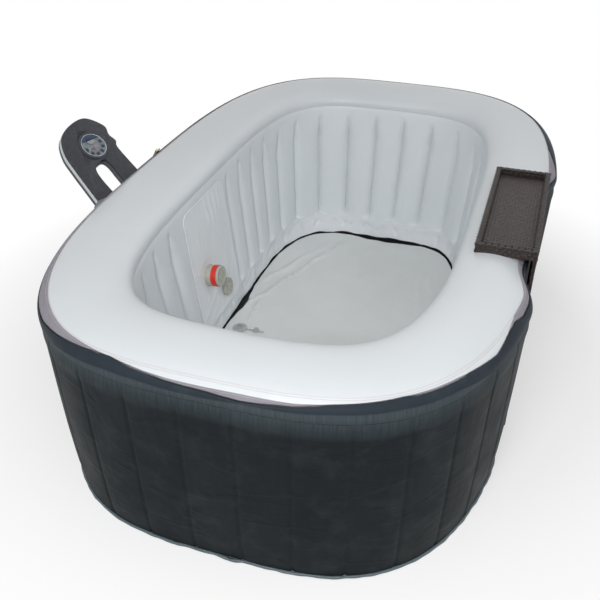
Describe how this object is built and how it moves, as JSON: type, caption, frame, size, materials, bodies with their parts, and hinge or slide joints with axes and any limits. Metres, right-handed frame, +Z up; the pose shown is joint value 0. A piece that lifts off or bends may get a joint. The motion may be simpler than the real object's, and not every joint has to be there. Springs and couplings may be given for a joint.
{
  "type": "inflatable hot tub",
  "caption": "Oval air-walled hot tub with upright ribs, soft zipped jacket, built-in pump unit with a leaning control arm, filter, floor drain and a lift-off tray.",
  "frame": {"origin": "on the ground under the middle of the tub oval, at the underside of the ground sheet", "axes": "+Z up, +Y along the length of the tub, away from the filter end, +X across it towards the tray; the pump unit and the control arm are on the -X side"},
  "size_m": [1.464, 1.8996, 0.618],
  "materials": {
    "pale_vinyl": "soft satin",
    "rib_vinyl": "soft satin",
    "mat_vinyl": "matte",
    "black_vinyl": "matte",
    "jacket_leather": "soft grain",
    "band_leather": "soft grain",
    "tape_cloth": "woven",
    "piping_vinyl": "satin",
    "zip_metal": "polished",
    "beige_plastic": "satin",
    "red_plastic": "satin",
    "white_paper": "pleated filter cloth",
    "grey_plastic": "satin",
    "dark_plastic": "fine texture",
    "side_plastic": "satin",
    "face_plastic": "satin",
    "button_plastic": "satin",
    "screen_glass": "clear",
    "light_red": "clear",
    "board_green": "coated",
    "motor_metal": "satin",
    "heater_metal": "brushed",
    "pipe_plastic": "satin",
    "wicker": "woven strands"
  },
  "bodies": {
    "tub": {"ground_sheet": "black_vinyl", "tub_floor": "black_vinyl", "web_ring": "pale_vinyl", "outer_wall": "pale_vinyl", "inner_wall": "rib_vinyl", "rim_sheet": "pale_vinyl", "wall_skirt": "pale_vinyl", "floor_mat": "mat_vinyl", "bubble_ring": "black_vinyl", "jacket_wall": "jacket_leather", "jacket_top_band": "band_leather", "zip_tape": "tape_cloth", "hem_piping": "piping_vinyl", "wall_panel": "rib_vinyl", "filter_housing": "beige_plastic", "filter_band": "red_plastic", "filter_cartridge": "white_paper", "filter_gasket": "black_vinyl", "filter_nut": "beige_plastic", "outlet_body": "beige_plastic", "outlet_nut": "beige_plastic", "drain_socket": "beige_plastic", "unit_pocket": "pale_vinyl", "unit_base": "grey_plastic", "unit_inner_shell": "grey_plastic", "unit_outer_shell": "grey_plastic", "pump_housing": "dark_plastic", "pump_motor": "motor_metal", "heater_tube": "heater_metal", "blower_housing": "dark_plastic", "circuit_board": "board_green", "suction_pipe": "pipe_plastic", "pump_pipe": "pipe_plastic", "return_pipe": "pipe_plastic", "air_hose": "black_vinyl", "cable_gland": "dark_plastic", "arm_front_shell": "dark_plastic", "arm_side_band": "side_plastic", "arm_rear_shell": "dark_plastic", "panel_bezel": "side_plastic", "panel_face": "face_plastic", "keypad_board": "board_green", "display_window": "screen_glass", "indicator_light": "light_red"},
    "filter_cap": {"filter_cap": "beige_plastic"},
    "outlet_cap": {"outlet_cap": "beige_plastic"},
    "drain_plug": {"drain_plug": "beige_plastic"},
    "zip_slider": {"zip_slider": "zip_metal"},
    "zip_puller": {"zip_puller": "zip_metal"},
    "pump_impeller": {"pump_impeller": "side_plastic"},
    "blower_fan": {"blower_fan": "side_plastic"},
    "tray": {"tray_deck": "wicker", "tray_border": "wicker", "tray_leg": "wicker"},
    "power_button": {"power_button": "button_plastic"},
    "heat_button": {"heat_button": "button_plastic"},
    "filter_button": {"filter_button": "button_plastic"},
    "bubble_button": {"bubble_button": "button_plastic"},
    "warmer_button": {"warmer_button": "button_plastic"},
    "cooler_button": {"cooler_button": "button_plastic"}
  },
  "joints": [
    {"name": "power_press", "type": "slide", "parent": "tub", "child": "power_button", "axis": [-0.604, 0.2199, -0.766], "range_m": [0, 0.0008], "stiffness_N_per_m": 600},
    {"name": "heat_press", "type": "slide", "parent": "tub", "child": "heat_button", "axis": [-0.604, 0.2199, -0.766], "range_m": [0, 0.0008], "stiffness_N_per_m": 600},
    {"name": "filter_press", "type": "slide", "parent": "tub", "child": "filter_button", "axis": [-0.604, 0.2199, -0.766], "range_m": [0, 0.0008], "stiffness_N_per_m": 600},
    {"name": "bubble_press", "type": "slide", "parent": "tub", "child": "bubble_button", "axis": [-0.604, 0.2199, -0.766], "range_m": [0, 0.0008], "stiffness_N_per_m": 600},
    {"name": "warmer_press", "type": "slide", "parent": "tub", "child": "warmer_button", "axis": [-0.604, 0.2199, -0.766], "range_m": [0, 0.0008], "stiffness_N_per_m": 600},
    {"name": "cooler_press", "type": "slide", "parent": "tub", "child": "cooler_button", "axis": [-0.604, 0.2199, -0.766], "range_m": [0, 0.0008], "stiffness_N_per_m": 600},
    {"name": "filter_cap_turn", "type": "hinge", "parent": "tub", "child": "filter_cap", "pos_m": [-0.35741, -0.132, 0.2285], "axis": [0.9935, 0, 0.1139], "range_deg": [0, 45]},
    {"name": "outlet_cap_turn", "type": "hinge", "parent": "tub", "child": "outlet_cap", "pos_m": [-0.34658, -0.04, 0.13412], "axis": [0.9935, 0, 0.1139], "range_deg": [0, 60]},
    {"name": "drain_plug_fold", "type": "hinge", "parent": "tub", "child": "drain_plug", "pos_m": [-0.257, -0.085, 0.01875], "axis": [0, -1, 0], "range_deg": [0, 180]},
    {"name": "zip_slide", "type": "slide", "parent": "tub", "child": "zip_slider", "axis": [0, 1, 0], "range_m": [-0.09, 0.08]},
    {"name": "zip_puller_swing", "type": "hinge", "parent": "zip_slider", "child": "zip_puller", "pos_m": [-0.60054, 0.0584, 0.52774], "axis": [0, 1, 0], "range_deg": [0, 110]},
    {"name": "impeller_spin", "type": "hinge", "parent": "tub", "child": "pump_impeller", "pos_m": [-0.482, -0.215, 0.075], "axis": [0, 1, 0], "continuous": true},
    {"name": "fan_spin", "type": "hinge", "parent": "tub", "child": "blower_fan", "pos_m": [-0.5687, -0.17, 0.3], "axis": [0, 0, 1], "continuous": true},
    {"name": "tray_lift", "type": "slide", "parent": "tub", "child": "tray", "axis": [0, 0, 1], "range_m": [0, 0.3]}
  ]
}
